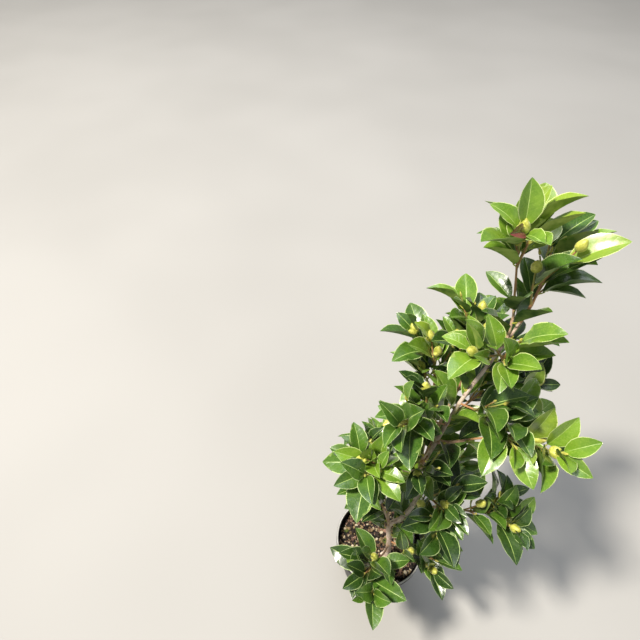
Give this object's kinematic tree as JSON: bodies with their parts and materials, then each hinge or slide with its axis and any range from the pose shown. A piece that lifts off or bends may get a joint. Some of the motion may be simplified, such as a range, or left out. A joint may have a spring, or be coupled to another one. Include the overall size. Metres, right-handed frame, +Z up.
{
  "type": "camellia shrub",
  "caption": "Young small-leaved camellia shrub with a forked, leaning stem, glossy leaves and yellow-green flower buds, in a round black nursery pot of gritty soil.",
  "frame": {"origin": "centre of the pot's flat underside", "axes": "+Z up, from the pot's underside through its rim; the stem leans towards +X and +Y"},
  "size_m": [0.2431, 0.2609, 0.6217],
  "materials": {
    "pot_plastic": "moulded black nursery plastic, slightly shiny at the rim",
    "soil_grit": "coarse grit of tan, brown and pinkish grains",
    "bark": "thin pinkish-grey bark, finely wrinkled",
    "young_bark": "smooth brown young bark",
    "leaves": "glossy evergreen leaves with pale midribs and edges"
  },
  "bodies": {
    "root": {"nursery_pot": "pot_plastic", "potting_soil": "soil_grit", "trunk": "bark", "left_bough": "young_bark", "front_bough": "young_bark", "rear_low_bough": "young_bark", "right_low_bough": "young_bark", "rear_left_bough": "young_bark", "left_middle_bough": "young_bark", "twin_bough": "young_bark", "right_bough": "young_bark", "tall_shoot": "young_bark", "left_foliage": "leaves", "front_foliage": "leaves", "rear_low_foliage": "leaves", "right_low_foliage": "leaves", "rear_left_foliage": "leaves", "left_middle_foliage": "leaves", "twin_foliage": "leaves", "right_foliage": "leaves", "shoot_foliage": "leaves", "leader_foliage": "leaves", "front_right_foliage": "leaves", "middle_front_foliage": "leaves", "rear_right_foliage": "leaves", "upper_left_foliage": "leaves", "upper_right_foliage": "leaves", "upper_rear_foliage": "leaves", "middle_left_foliage": "leaves", "top_front_foliage": "leaves"}
  },
  "joints": []
}
